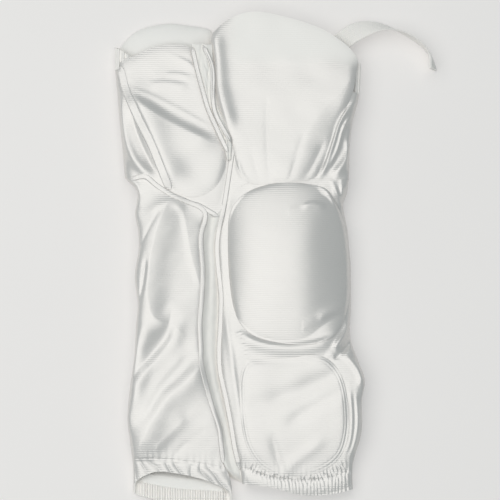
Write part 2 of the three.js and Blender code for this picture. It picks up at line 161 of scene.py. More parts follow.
def from_photo(pixels, height):
    """Places in millimetres under pixels of the photograph, at a height above the floor."""
    px, py = np.array(pixels, float).T
    lift = height - VIEW_AIM_HEIGHT
    y = np.zeros(len(px))
    for _ in range(SETTLING_ROUNDS):
        nearer = lift * math.sin(VIEW_ELEVATION) - y * math.cos(VIEW_ELEVATION)
        scale = MM_PER_PIXEL * (1 - nearer / VIEW_DISTANCE)
        up = (PHOTO_MIDDLE - py) * scale
        y = (up - lift * math.cos(VIEW_ELEVATION)) / math.sin(VIEW_ELEVATION)
    return np.stack([(px - PHOTO_MIDDLE) * scale, y], axis=1)


def curve_through(points, spacing, closed=False):
    """A smooth line through points, with even steps of about the spacing."""
    points = np.asarray(points, float)
    if closed:
        ends = np.vstack([points[-1], points, points[0], points[1]])
    else:
        ends = np.vstack([2 * points[0] - points[1], points, 2 * points[-1] - points[-2]])
    fine = []
    for a, b, c, d in zip(ends, ends[1:], ends[2:], ends[3:]):
        t = np.linspace(0, 1, CURVE_STEPS, endpoint=False)[:, None]
        fine.append(0.5 * (2 * b + (c - a) * t + (2 * a - 5 * b + 4 * c - d) * t**2
                           + (3 * b - a - 3 * c + d) * t**3))
    fine.append(ends[-2][None, :])
    fine = np.vstack(fine)
    run = np.concatenate([[0], np.cumsum(np.linalg.norm(np.diff(fine, axis=0), axis=1))])
    count = max(int(round(run[-1] / spacing)), 3)
    even = np.linspace(0, run[-1], count + 1)
    line = np.stack([np.interp(even, run, fine[:, k]) for k in range(points.shape[1])], axis=1)
    return line[:-1] if closed else line


def near_line(line, reach, x, y):
    """Which places are in the box round a line, widened by a reach."""
    near = (x > line[:, 0].min() - reach) & (x < line[:, 0].max() + reach)
    return near & (y > line[:, 1].min() - reach) & (y < line[:, 1].max() + reach)


def headings(line):
    """The way that a line runs at each of its points."""
    ahead = np.gradient(line, axis=0)
    return ahead / np.linalg.norm(ahead, axis=1)[:, None]


def fold_height(folds, height, x, y):
    """Height that folds add at places on a cloth, each falling off to both sides of its line."""
    total = np.zeros(np.shape(x))
    for pixels, rise, left_width, right_width, crisp in folds:
        line = curve_through(from_photo(pixels, height), FOLD_STEP)
        reach = (FOLD_REACH + CRISP_REACH * crisp) * max(left_width, right_width)
        near = near_line(line, reach, x, y)
        if not near.any():
            continue
        along = np.linspace(0, 1, len(line))
        taper = ease(np.minimum(along, 1 - along) / FOLD_TAPER)
        ahead = headings(line)
        away_x = x[near][:, None] - line[:, 0]
        away_y = y[near][:, None] - line[:, 1]
        distance = np.hypot(away_x, away_y)
        weight = np.exp((distance.min(axis=1)[:, None] - distance) / FOLD_BLEND)
        weight /= weight.sum(axis=1)[:, None]
        beside = (weight * (ahead[:, 0] * away_y - ahead[:, 1] * away_x)).sum(axis=1)
        share = (weight * taper).sum(axis=1)
        width = np.where(beside > 0, left_width, right_width)
        soft = np.exp(-(beside / width) ** 2)
        sharp = np.exp((CREASE_RADIUS - np.hypot(beside, CREASE_RADIUS)) / width)
        total[near] += rise * share * (soft + crisp * (sharp - soft))
    return total


def ripple(x, y, length, seed):
    """Slight unevenness of slack cloth, from -1 to 1, with waves of about a length."""
    chance = np.random.default_rng(seed)
    total = np.zeros(np.shape(x))
    for _ in range(RIPPLE_WAVES):
        turn = chance.uniform(0, 2 * math.pi)
        wave = 2 * math.pi / (length * chance.uniform(*RIPPLE_SPREAD))
        start = chance.uniform(0, 2 * math.pi)
        total += np.sin(wave * (x * math.cos(turn) + y * math.sin(turn)) + start)
    return total / RIPPLE_WAVES


def steady(share):
    """A side fold that stays at one share of the crown's height."""
    return lambda y: share


class Cloth:
    """A flattened tube of cloth: its sides, the height of its top, and the relief on it.

    Its side folds stand at shares of the crown's height.
    """

    def __init__(self, sections, relief, left_fold, right_fold):
        self.left, self.right, self.crown, self.power = smooth_columns(sections)
        self.folds = (left_fold, right_fold)
        self.relief = relief

    def middle(self, y):
        return (self.left(y) + self.right(y)) / 2

    def half(self, y):
        return (self.right(y) - self.left(y)) / 2

    def arch(self, x, y):
        u = np.clip(np.abs(x - self.middle(y)) / self.half(y), 0, 1)
        return np.sqrt(1 - u ** self.power(y))

    def edge(self, x, y):
        t = ease((x - self.left(y)) / (2 * self.half(y)))
        return self.crown(y) * (self.folds[0](y) * (1 - t) + self.folds[1](y) * t)

    def smooth_top(self, x, y, inset=0):
        edge = self.edge(x, y)
        return edge + self.arch(x, y) * (self.crown(y) - inset - edge)

    def top(self, x, y, inset=0):
        held = np.clip(RELIEF_HOLD * self.arch(x, y), 0, 1)
        return self.smooth_top(x, y, inset) + held * self.relief(x, y)


def quads_between(row_a, row_b):
    """Faces between two closed rings of point numbers."""
    next_a = np.roll(row_a, -1)
    next_b = np.roll(row_b, -1)
    return np.stack([row_a, next_a, next_b, row_b], axis=1)


def tube_of_cloth(form, upper, lower, wall, rows, over, under, under_relief=None):
    """Points and faces of a wall of cloth that closes round on itself, open at both ends."""
    spread = np.arange(over) / over
    u_over = EVEN_SPREAD * (2 * spread - 1) - (1 - EVEN_SPREAD) * np.cos(np.pi * spread)
    u_under = np.cos(np.pi * np.arange(under) / under)
    u = np.concatenate([u_over, u_under])
    is_over = np.arange(over + under) < over
    share = np.where(is_over, np.sqrt(1 - np.clip(u * u, 0, 1)), 0)
    t = np.linspace(0, 1, rows + 1)[:, None]
    points = []
    for inset in (0, wall):
        x = np.full((rows + 1, len(u)), float(form.middle(0)))
        for _ in range(SETTLING_ROUNDS):
            y = upper(x, share) * (1 - t) + lower(x, share) * t
            x = form.middle(y) + (form.half(y) - inset) * u
        past = np.clip((np.abs(u) - BASE_FLAT) / (1 - BASE_FLAT), 0, 1)
        base = inset + (form.edge(x, y) - inset) * (1 - np.sqrt(1 - past * past))
        if under_relief is not None and inset:
            base += under_relief(x, y, t) * (1 - past)
        z = np.where(is_over, form.top(x, y, inset), base)
        points.append(np.stack([x, y, z], axis=-1).reshape(-1, 3))
    outer = np.arange((rows + 1) * len(u)).reshape(rows + 1, -1)
    inner = outer + outer.size
    faces = [quads_between(a, b) for a, b in zip(outer, outer[1:])]
    faces += [quads_between(b, a) for a, b in zip(inner, inner[1:])]
    faces += [quads_between(inner[0], outer[0]), quads_between(outer[-1], inner[-1])]
    return np.vstack(points), np.vstack(faces).tolist()


class Shade:
    """One output of a material's nodes, so that its maths reads as plain expressions."""

    def __init__(self, tree, socket):
        self.tree = tree
        self.socket = socket

    def node(self, kind, settings=None, sockets=None, output=0):
        made = self.tree.nodes.new(kind)
        for name, value in (settings or {}).items():
            setattr(made, name, value)
        for name, value in (sockets or {}).items():
            if isinstance(value, Shade):
                self.tree.links.new(value.socket, made.inputs[name])
            else:
                made.inputs[name].default_value = value
        return Shade(self.tree, made.outputs[output])

    def maths(self, operation, first, second=0.0):
        return self.node("ShaderNodeMath", {"operation": operation}, {0: first, 1: second})

    def __add__(self, other):
        return self.maths("ADD", self, other)

    def __radd__(self, other):
        return self.maths("ADD", other, self)

    def __sub__(self, other):
        return self.maths("SUBTRACT", self, other)

    def __rsub__(self, other):
        return self.maths("SUBTRACT", other, self)

    def __mul__(self, other):
        return self.maths("MULTIPLY", self, other)

    def __rmul__(self, other):
        return self.maths("MULTIPLY", other, self)

    def sine(self):
        return self.maths("SINE", self)

    def feed(self, shader, name):
        self.tree.links.new(self.socket, shader.inputs[name])


def new_cloth(name, roughness, metallic, sheen):
    """A new material, its shader, and the place on a piece that its patterns follow."""
    material = bpy.data.materials.new(name)
    material.use_nodes = True
    tree = material.node_tree
    shader = tree.nodes["Principled BSDF"]
    shader.inputs["Roughness"].default_value = roughness
    shader.inputs["Metallic"].default_value = metallic
    shader.inputs["Sheen Weight"].default_value = sheen
    place = Shade(tree, shader.outputs[0]).node("ShaderNodeTexCoord", output="Object")
    return material, shader, place


def finish_cloth(shader, place, tone, relief, depth):
    """Colour and a relief in metres as bump."""
    bump = place.node("ShaderNodeBump", None, {"Strength": 1.0, "Distance": depth, "Height": relief})
    tone.feed(shader, "Base Color")
    bump.feed(shader, "Normal")


SATIN_SHADES = ((0.765, 0.735, 0.71, 1), (0.795, 0.765, 0.735, 1))
SATIN_METAL = 0.38
SATIN_ROUGHNESS = 0.32
SATIN_ROUGHNESS_DRIFT = 0.08
SATIN_SHEEN = 0.05
SATIN_RIB_PITCH = 2.9
SATIN_RIB_DRIFT = 2.5
SATIN_RIB_DEPTH = 0.00012
MATTE_WHITE = (0.995, 0.96, 0.92, 1)
MATTE_ROUGHNESS = 0.4
MATTE_DRIFT = 0.012
MATTE_BLEND = (0.02, 0.03)


def knit_satin(name, matte_from=None):
    """Shiny knitted satin with fine ribs, matte past a place across and along the pants."""
    material, shader, place = new_cloth(name, SATIN_ROUGHNESS, SATIN_METAL, SATIN_SHEEN)
    along = place.node("ShaderNodeSeparateXYZ", None, {"Vector": place}, 1)
    drift = place.node("ShaderNodeTexNoise", None, {"Vector": place, "Scale": 22.0, "Detail": 2.0})
    grain = place.node("ShaderNodeTexNoise", None, {"Vector": place, "Scale": 900.0, "Detail": 1.0})
    ribs = (along * (2 * math.pi * MM_PER_METRE / SATIN_RIB_PITCH) + drift * SATIN_RIB_DRIFT).sine()
    tone = place.node("ShaderNodeMix", {"data_type": "RGBA"}, {
        "Factor": drift * 0.8 + grain * 0.2, "A": SATIN_SHADES[0], "B": SATIN_SHADES[1]}, 2)
    roughness = SATIN_ROUGHNESS + SATIN_ROUGHNESS_DRIFT * drift
    if matte_from is not None:
        across = place.node("ShaderNodeSeparateXYZ", None, {"Vector": place}, 0)
        past = [place.node("ShaderNodeMapRange", {"interpolation_type": "SMOOTHSTEP"}, {
            "Value": way + MATTE_DRIFT * drift, "From Min": start, "From Max": start + blend})
            for way, start, blend in zip((across, along), matte_from, MATTE_BLEND)]
        matte = past[0] * past[1]
        roughness = roughness + MATTE_ROUGHNESS * matte
        tone = place.node("ShaderNodeMix", {"data_type": "RGBA"},
                          {"Factor": matte * (2 - matte), "A": tone, "B": MATTE_WHITE}, 2)
        (SATIN_METAL - SATIN_METAL * matte).feed(shader, "Metallic")
    roughness.feed(shader, "Roughness")
    finish_cloth(shader, place, tone, ribs * 0.5 + grain * 0.5, SATIN_RIB_DEPTH)
    return material


satin = knit_satin("white_satin")

# The drawing frame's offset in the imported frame, from where the thigh pad is in both.
THIGH_PAD_MIDDLE = np.array([49, -15])
thigh_low, thigh_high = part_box("thigh_pad")
thigh_middle = (thigh_low + thigh_high) / 2 * MM_PER_METRE
frame_offset = np.array([*(np.array(thigh_middle.xy) - THIGH_PAD_MIDDLE), 0])
laid_down = {}
RIM_ANGLE = math.radians(55)
HIGH_ABOVE = 300


def add_piece(name, points, faces, material, replaces=None):
    """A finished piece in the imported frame, riding on the pants, kept for later pieces to lie on."""
    mesh = bpy.data.meshes.new(name)
    metres = (np.asarray(points) + frame_offset) / MM_PER_METRE
    mesh.from_pydata(metres.tolist(), [], faces)
    mesh.validate()
    mesh.shade_smooth()
    mesh.set_sharp_from_angle(angle=RIM_ANGLE)
    mesh.materials.append(material)
    piece = bpy.data.objects.new(name, mesh)
    bpy.context.collection.objects.link(piece)
    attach(piece, "root")
    if replaces:
        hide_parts(replaces)
    laid_down[name] = BVHTree.FromPolygons([Vector(p) for p in points], faces)
    return piece


def height_under(places, names):
    """How high the named pieces reach at places, seen from above."""
    heights = []
    for x, y in places:
        best = 0.0
        for name in names:
            hit = laid_down[name].ray_cast(Vector((x, y, HIGH_ABOVE)), Vector((0, 0, -1)))[0]
            if hit is not None:
                best = max(best, hit.z)
        heights.append(best)
    return np.array(heights)


waist_top, waist_seam = smooth_columns(waistband_edges)
leg_seam = smooth_columns(leg_seam_points)[0]


def seat_swell(x, y):
    return fold_height(seat_swells_in_photo, SEAT_HEIGHT, x, y)


def seat_relief(x, y):
    folds = fold_height(seat_folds_in_photo, SEAT_HEIGHT, x, y)
    return folds + seat_swell(x, y) + SEAT_SLACK * ripple(x, y, length=60, seed=3)


seat_form = Cloth(seat_sections, seat_relief, steady(SEAT_LEFT_FOLD), steady(SEAT_RIGHT_FOLD))
points, faces = tube_of_cloth(
    seat_form, lambda x, share: waist_seam(x) - WAIST_SEAM_GAP, lambda x, share: leg_seam(x),
    CLOTH_WALL, rows=110, over=240, under=60)
seat = add_piece("seat_cloth", points, faces, satin, "seat")


# Legs: two flattened tubes of the same satin, sewn to the seat along the leg seam and gathered
# into the cuffs. The left one is slack and full of deep diagonal folds; the right one is filled
# by its pads and shows folds only round them.
LEG_SEAM_GAP = 0.1
SEAM_BLEND = 28
LEFT_INSEAM_FOLD = 0.93
RIGHT_INSEAM_FOLD = 0.7
LEG_HEIGHT = 36
LEFT_LEG_SLACK = 0.5
LEFT_LEG_CRUMPLE = 0.14
LEFT_LEG_GATHERS = 0.25
RIGHT_LEG_SLACK = 0.4
RIGHT_LEG_GATHERS = 0.5
PUCKER_STEP = 1.0
PUCKER_REACH = 3
PUCKER_JITTER = 2.0
GATHER_JITTER = 2.4
GATHER_DRIFT = 5
GATHER_STRETCH = 0.3

left_leg_sections = [
    # along, left side, right side, crown height, flatness
    (112, -171, -60, 37, 10),
    (98, -169, -60, 37, 10),
    (88, -159, -59, 38, 9),
    (76, -153, -58, 38, 9),
    (62, -154, -59, 38, 9),
    (47, -156, -61, 38, 9),
    (25, -152, -66, 38, 9),
    (0, -151, -67, 38, 9),
    (-38, -156, -64, 38, 9),
    (-77, -152, -66, 38, 9),
    (-107, -154, -68, 38, 9),
    (-147, -156, -67, 38, 9),
    (-192, -162, -58, 37, 8),
    (-231, -165, -47, 34, 8),
    (-259, -162, -40, 29, 8),
    (-290, -158, -36, 22, 8),
    (-305, -157, -29, 19, 7),
    (-320, -157, -25, 16, 6),
    (-350, -157, -24, 12, 5),
]
left_leg_outer_fold = [
    # along, share of the crown's height
    (112, 0.6),
    (70, 0.8),
    (-240, 0.8),
    (-300, 0.66),
    (-350, 0.66),
]
left_leg_folds_in_photo = [
    # line of the fold, rise, width on its left, width on its right, crispness
    ([(178, 186), (169, 202), (160, 220), (152, 250), (148, 280), (148, 300), (152, 315), (160, 322),
      (172, 325), (182, 334), (188, 346)], 9.0, 30, 19, 0.4),
    ([(149, 219), (154, 209), (166, 204), (176, 205), (186, 215)], 1.6, 9, 6, 0),
    ([(182, 204), (188, 236), (192, 258), (202, 292)], 1.4, 12, 5, 0.5),
    ([(160, 209), (149, 229), (137, 254)], -0.9, 3, 3, 0.8),
    ([(146, 258), (144, 278), (140, 302)], -1.7, 3, 3, 0),
    ([(150, 316), (141, 338), (133, 362), (126, 396)], 6.5, 23, 14, 0),
    ([(173, 302), (166, 335), (150, 356), (138, 370), (126, 393)], -4.9, 14, 26, 0.5),
    ([(178, 316), (173, 338), (156, 361), (144, 375), (136, 391), (132, 420)], 4.0, 12, 9, 0.2),
    ([(188, 349), (173, 365), (157, 384), (146, 403), (139, 424)], 2.0, 8, 13, 0),
    ([(206, 344), (180, 375), (162, 391), (150, 407), (138, 430)], -1.4, 9, 17, 0.5),
    ([(214, 354), (188, 381), (170, 397), (159, 411), (151, 424), (140, 446), (130, 468)],
     6.6, 20, 15, 0.3),
    ([(188, 415), (172, 431), (150, 453)], 2.2, 9, 26, 0.3),
    ([(190, 440), (181, 447), (174, 456)], -0.9, 5, 5, 0.5),
    ([(127, 178), (136, 186), (138, 198)], 2.0, 4, 4, 0),
]
right_leg_sections = [
    (100, -31, 135, 38, 9),
    (77, -34, 132, 39, 6),
    (63, -37, 127, 38.5, 4),
    (27, -42, 133, 38, 3),
    (3, -45, 135, 38, 2.8),
    (-23, -43, 137, 38, 2.8),
    (-77, -42, 137, 37.5, 2.8),
    (-121, -42, 136, 38.5, 5),
    (-153, -42, 146, 37, 9),
    (-180, -39, 155, 35, 11),
    (-207, -33, 151, 34, 12),
    (-242, -26, 151, 32, 12),
    (-261, -22, 148, 30, 10),
    (-279, -18, 142, 27, 9),
    (-298, -13, 138, 23, 5),
    (-340, -8, 139, 15, 4),
]
right_leg_outer_fold = [
    (100, 0.78),
    (70, 0.5),
    (40, 0.45),
    (-110, 0.45),
    (-165, 0.78),
    (-340, 0.78),
]
right_leg_folds_in_photo = [
    ([(232, 327), (243, 336), (257, 343), (274, 347), (292, 348), (312, 346), (330, 340), (344, 331)],
     5.0, 6, 11, 0),
    ([(350, 316), (346, 331), (339, 342), (333, 351)], 5.0, 4, 4, 0),
    ([(351, 340), (346, 347), (341, 353)], -5.0, 3.5, 3.5, 0),
    ([(344, 355), (354, 364), (361, 377), (360, 388)], 2.6, 5, 5, 0),
    ([(350, 388), (352, 418), (350, 440), (344, 457)], 2.4, 3, 4, 0),
    ([(356, 390), (358, 420), (355, 442), (348, 460)], 2.4, 3, 4, 0),
    ([(224, 300), (227, 325), (231, 352), (234, 376), (238, 403), (241, 430)], 1.4, 4, 5, 0),
    ([(222, 212), (220, 240), (222, 280), (226, 310)], 1.6, 5, 5, 0),
    ([(334, 186), (338, 196), (344, 208)], 3.0, 3, 3, 0),
    ([(342, 184), (343, 194), (347, 206)], 2.5, 3, 3, 0),
]
right_leg_puckers_in_photo = [
    # line of the puckers, rise, pitch along the line, width
    ([(239, 332), (243, 342), (246, 352), (248, 360)], 0.5, 5.0, 4),
    ([(250, 466), (270, 474), (300, 478), (330, 472), (346, 464)], 0.7, 4.6, 6),
]
left_cuff_edges = [
    # across, seam to the leg, end of the front layer, end of the back layer
    (-162, -284, -318, -327),
    (-150, -284, -309, -333),
    (-128, -284, -302, -340),
    (-100, -286, -305, -346),
    (-65, -291, -312, -347),
    (-39, -296, -320, -347),
    (-26, -299, -326, -347),
]
right_cuff_edges = [
    (-6, -297, -320, -318),
    (27, -308, -324, -322),
    (68, -313, -334, -332),
    (109, -309, -333, -331),
    (142, -298, -326, -324),
]
left_cuff = smooth_columns(left_cuff_edges)
right_cuff = smooth_columns(right_cuff_edges)


def puckers(rows, height, x, y):
    """Height of small puckers in a row along a line of stitches."""
    total = np.zeros(np.shape(x))
    for pixels, rise, pitch, width in rows:
        line = curve_through(from_photo(pixels, height), PUCKER_STEP)
        near = near_line(line, PUCKER_REACH * width, x, y)
        away = np.hypot(x[near][:, None] - line[:, 0], y[near][:, None] - line[:, 1])
        run = away.argmin(axis=1) * PUCKER_STEP
        uneven = PUCKER_JITTER * ripple(x[near], y[near], length=30, seed=61)
        wave = np.sin(2 * math.pi * run / pitch + uneven)
        total[near] += rise * wave * np.exp(-(away.min(axis=1) / width) ** 2)
    return total


def gathers(x, y, seam, pitch, reach, seed):
    """Small pleats that run into a seam and fade away from it."""
    away = np.abs(y - seam(x))
    uneven = GATHER_JITTER * ripple(x, GATHER_STRETCH * y, GATHER_DRIFT * pitch, seed)
    return np.sin(2 * math.pi * x / pitch + uneven) * np.exp(-away / reach)


def rise_to_seat(form, x, y):
    """Height that brings a leg up to the seat at the seam between them."""
    down = ease((leg_seam(x) - y) / SEAM_BLEND)
    return (1 - down) * (seat_form.top(x, y) - form.smooth_top(x, y))


def left_leg_relief(x, y):
    folds = fold_height(left_leg_folds_in_photo, LEG_HEIGHT, x, y)
    folds += LEFT_LEG_SLACK * ripple(x, y, length=45, seed=7)
    folds += LEFT_LEG_CRUMPLE * ripple(x, y, length=20, seed=9)
    folds += LEFT_LEG_GATHERS * gathers(x, y, left_cuff[0], pitch=9, reach=7, seed=21)
    return folds + rise_to_seat(left_leg_form, x, y)


def right_leg_relief(x, y):
    folds = fold_height(right_leg_folds_in_photo, LEG_HEIGHT, x, y)
    folds += puckers(right_leg_puckers_in_photo, LEG_HEIGHT, x, y)
    folds += RIGHT_LEG_SLACK * ripple(x, y, length=50, seed=8)
    folds += RIGHT_LEG_GATHERS * gathers(x, y, right_cuff[0], pitch=6, reach=8, seed=22)
    return folds + rise_to_seat(right_leg_form, x, y)


left_leg_form = Cloth(left_leg_sections, left_leg_relief,
                      smooth_columns(left_leg_outer_fold)[0], steady(LEFT_INSEAM_FOLD))
right_leg_form = Cloth(right_leg_sections, right_leg_relief,
                       steady(RIGHT_INSEAM_FOLD), smooth_columns(right_leg_outer_fold)[0])
for side, form, cuff, flat in (("left", left_leg_form, left_cuff, (0.27, 0.37)),
                               ("right", right_leg_form, right_cuff, (0.37, 0.40))):
    points, faces = tube_of_cloth(
        form, lambda x, share: leg_seam(x) - LEG_SEAM_GAP, lambda x, share: cuff[0](x),
        CLOTH_WALL, rows=250, over=130, under=40)
    leg = add_piece(f"leg_cloth_{side}", points, faces, satin, f"leg_{side}")


# Gusset: a strip of matte stretch knit between the legs, from the crotch down to the left cuff,
# sewn to both inseams. It lies in the valley between the legs with two slack folds along it.
GUSSET_GAP = 0.2
GUSSET_DROP = 1.5
GUSSET_CLOTH = 1.6
GUSSET_CURL = 9
GUSSET_LEFT_LIFT = 2.8
GUSSET_LIFT_LOSS = 2.2
GUSSET_FOLD = 1.2
GUSSET_FOLDS_ACROSS = 1.5
GUSSET_FOLD_SWAY = 0.25
GUSSET_FOLD_TURN = 3
GUSSET_END_HEIGHT = 1.5
STRIP_RIM = 0.7
STRIP_RIM_SLOPE = 8
KNIT_ROUGHNESS = 0.82
KNIT_SHEEN = 0.25
KNIT_RIB_DRIFT = 2.0
gusset_end_points = [
    # across, along
    (-40, -299),
    (-28, -308),
    (-10, -316),
]
gusset_end = smooth_columns(gusset_end_points)[0]


def ribbed_knit(name, pale, dark, pitch, depth, axis):
    """Matte knit with ribs that follow one another along X, axis 0, or Y, axis 1."""
    material, shader, place = new_cloth(name, KNIT_ROUGHNESS, 0.0, KNIT_SHEEN)
    split = place.node("ShaderNodeSeparateXYZ", None, {"Vector": place}, axis)
    drift = place.node("ShaderNodeTexNoise", None, {"Vector": place, "Scale": 30.0, "Detail": 3.0})
    grain = place.node("ShaderNodeTexNoise", None, {"Vector": place, "Scale": 1400.0})
    ribs = (split * (2 * math.pi * MM_PER_METRE / pitch) + drift * KNIT_RIB_DRIFT).sine()
    tone = place.node("ShaderNodeMix", {"data_type": "RGBA"}, {
        "Factor": drift * 0.7 + grain * 0.3, "A": (*dark, 1), "B": (*pale, 1)}, 2)
    finish_cloth(shader, place, tone, ribs * 0.5 + grain, depth)
    return material


matte_stretch = ribbed_knit("matte_stretch_knit", (0.98, 0.95, 0.905), (0.945, 0.915, 0.87),
                            pitch=1.6, depth=0.0002, axis=0)


def strip_faces(loops):
    """Faces over rings that each go along a strip's top and back under it, closed at both ends."""
    rows, ring = loops.shape[:2]
    number = np.arange(rows * ring).reshape(rows, ring)
    faces = [quads_between(b, a) for a, b in zip(number, number[1:])]
    half = np.arange(ring // 2 - 1)
    for row, flip in ((number[0], False), (number[-1], True)):
        cap = np.stack([row[half], row[half + 1], row[ring - 2 - half], row[ring - 1 - half]], axis=1)
        faces.append(cap[:, ::-1] if flip else cap)
    return np.vstack(faces).tolist()


def strip_of_cloth(left, right, underside, top, bottom, thickness, rows, columns):
    """Points and faces of a closed strip between two edges, lying on an underside."""
    t = np.linspace(0, 1, rows + 1)[:, None]
    share = np.linspace(0, 1, columns + 1)[None, :]
    x = np.full((rows + 1, columns + 1), float((left(0) + right(0)) / 2))
    for _ in range(SETTLING_ROUNDS):
        y = top(x) * (1 - t) + bottom(x) * t
        x = left(y) * (1 - share) + right(y) * share
    low = underside(x, y, share, t)
    rim = thickness * np.clip(STRIP_RIM_SLOPE * np.minimum(share, 1 - share), STRIP_RIM, 1)
    upper = np.stack([x, y, low + rim], axis=-1)
    lower = np.stack([x, y, low], axis=-1)[:, ::-1]
    loops = np.concatenate([upper, lower], axis=1)
    return loops.reshape(-1, 3), strip_faces(loops)


def gusset_underside(x, y, share, t):
    """Level with the legs' inner edges, up to the seat at the crotch and down at its end."""
    level = LEFT_INSEAM_FOLD * left_leg_form.crown(y) * (1 - share)
    level = level + RIGHT_INSEAM_FOLD * right_leg_form.crown(y) * share - GUSSET_CLOTH
    level = level + GUSSET_LEFT_LIFT - GUSSET_LIFT_LOSS * share
    rise = ease(1 - (leg_seam(x) - y) / SEAM_BLEND)
    level = level + rise * (seat_form.top(x, y) - GUSSET_CLOTH - level)
    fall = np.clip(1 - (y - gusset_end(x)) / GUSSET_CURL, 0, 1)
    sway = GUSSET_FOLD_SWAY * np.sin(GUSSET_FOLD_TURN * t)
    folds = GUSSET_FOLD * np.sin(2 * math.pi * (GUSSET_FOLDS_ACROSS * share + sway))
    folds = folds + ripple(x, y, length=30, seed=25) - GUSSET_DROP
    lying = level + folds * np.sin(math.pi * share)
    return lying * (1 - fall * fall) + GUSSET_END_HEIGHT * fall * fall


points, faces = strip_of_cloth(
    lambda y: left_leg_form.right(y) + GUSSET_GAP, lambda y: right_leg_form.left(y) - GUSSET_GAP,
    gusset_underside, lambda x: leg_seam(x) - LEG_SEAM_GAP, gusset_end, GUSSET_CLOTH,
    rows=260, columns=24)
gusset = add_piece("gusset_strip", points, faces, matte_stretch, "gusset")


# Cuffs: elastic sewn inside a satin casing, which gathers it into close pleats. The left one
# lies open, with the smooth lining and the ribbed elastic of its back layer showing.
CUFF_WALL = 2.4
CUFF_LINING_RISE = 8.0
CUFF_RIB = 3.4
CUFF_RIBBED_FROM = 0.62
CUFF_ROWS = 60
CUFF_AROUND = 260
CUFF_RIM_TURN = 0.2
LEFT_PLEAT_PITCH = 17
LEFT_PLEAT_SLANT = 0.6
LEFT_PLEAT_RISE = 1.3
LEFT_PLEAT_START = 9
LEFT_PLEAT_JITTER = 2.6
LEFT_STITCH_ROWS = (1.5, 6.0)
LEFT_STITCH_WIDTH = 1.1
LEFT_STITCH_DEPTH = 0.2
RIGHT_PLEAT_PITCH = 4.8
RIGHT_PLEAT_RISE = 0.5
RIGHT_PLEAT_START = 6
RIGHT_PLEAT_JITTER = 2.4
RIGHT_PLEAT_STRETCH = 0.5
RIGHT_CROSS_PITCH = 9
RIGHT_CROSS_SLANT = 0.7
RIGHT_CROSS_SHARE = 0.5
RIGHT_CROSS_JITTER = 2.0
RIGHT_BELLY = 1.6
RIGHT_BELLY_SPAN = 22
RIGHT_RIB_RISE = 0.7
CUFF_SMOOTH_TO = 12
CUFF_SMOOTH_BLEND = 32
CUFF_SMOOTH_SHARE = 0.3
LINING_RISE_FROM = 0.1
LINING_RISE_SPAN = 0.3
LINING_SLACK = 0.4
LINING_SEAM_WIDTH = 0.03
LINING_SEAM_DEPTH = 0.7
LINING_RIB_BLEND = 0.05
LINING_RIB_JITTER = 0.8
BARE_ELASTIC, SATIN_CASING, LINED_INSIDE = range(3)

lining = ribbed_knit("smooth_lining", (0.995, 0.972, 0.935), (0.98, 0.948, 0.91),
                     pitch=1.3, depth=0.00015, axis=1)
elastic = ribbed_knit("white_elastic", (0.985, 0.95, 0.91), (0.945, 0.91, 0.87),
                      pitch=2.4, depth=0.0003, axis=0)


def left_cuff_relief(x, y):
    """Slanting pleats that start from the leg's own relief at the seam."""
    down = left_cuff[0](x) - y
    turn = math.pi * (x - LEFT_PLEAT_SLANT * down) / LEFT_PLEAT_PITCH
    pleats = np.abs(np.sin(turn + LEFT_PLEAT_JITTER * ripple(x, y, length=50, seed=31)))
    free = np.clip(down / LEFT_PLEAT_START, 0, 1)
    stitches = sum(np.exp(-((down - row) / LEFT_STITCH_WIDTH) ** 2) for row in LEFT_STITCH_ROWS)
    relief = (1 - free) * left_leg_relief(x, y) + free * LEFT_PLEAT_RISE * pleats
    return relief - LEFT_STITCH_DEPTH * stitches


def right_cuff_relief(x, y):
    """Close uneven pleats from the leg's own relief at the seam, fainter towards the inseam."""
    down = right_cuff[0](x) - y
    close = np.clip((x - CUFF_SMOOTH_TO) / CUFF_SMOOTH_BLEND, 0, 1)
    close = CUFF_SMOOTH_SHARE + (1 - CUFF_SMOOTH_SHARE) * close
    uneven = RIGHT_PLEAT_JITTER * ripple(x, RIGHT_PLEAT_STRETCH * y, length=34, seed=33)
    pleats = np.abs(np.sin(math.pi * x / RIGHT_PLEAT_PITCH + uneven))
    turn = math.pi * (x + RIGHT_CROSS_SLANT * y) / RIGHT_CROSS_PITCH
    uneven = RIGHT_CROSS_JITTER * ripple(x, y, length=30, seed=36)
    pleats += RIGHT_CROSS_SHARE * np.abs(np.sin(turn + uneven))
    free = np.clip(down / RIGHT_PLEAT_START, 0, 1)
    belly = RIGHT_BELLY * np.sin(math.pi * np.clip(down / RIGHT_BELLY_SPAN, 0, 1))
    return (1 - free) * right_leg_relief(x, y) + free * RIGHT_PLEAT_RISE * close * pleats + belly


def left_cuff_lining(x, y, t):
    """The back layer inside the left cuff: smooth lining, then ribbed elastic along its end."""
    ribbed = np.clip((t - CUFF_RIBBED_FROM) / LINING_RIB_BLEND, 0, 1)
    stitches = np.exp(-((t - CUFF_RIBBED_FROM) / LINING_SEAM_WIDTH) ** 2)
    lining_rise = CUFF_LINING_RISE * np.clip((t - LINING_RISE_FROM) / LINING_RISE_SPAN, 0, 1)
    uneven = LINING_RIB_JITTER * ripple(x, y, length=30, seed=37)
    ribs = np.sin(2 * math.pi * x / CUFF_RIB + uneven)
    relief = lining_rise + ribbed * (1 + ribs) - LINING_SEAM_DEPTH * stitches
    return relief + LINING_SLACK * ripple(x, y, length=25, seed=38)


def right_cuff_lining(x, y, t):
    return RIGHT_RIB_RISE * np.sin(2 * math.pi * x / CUFF_RIB)


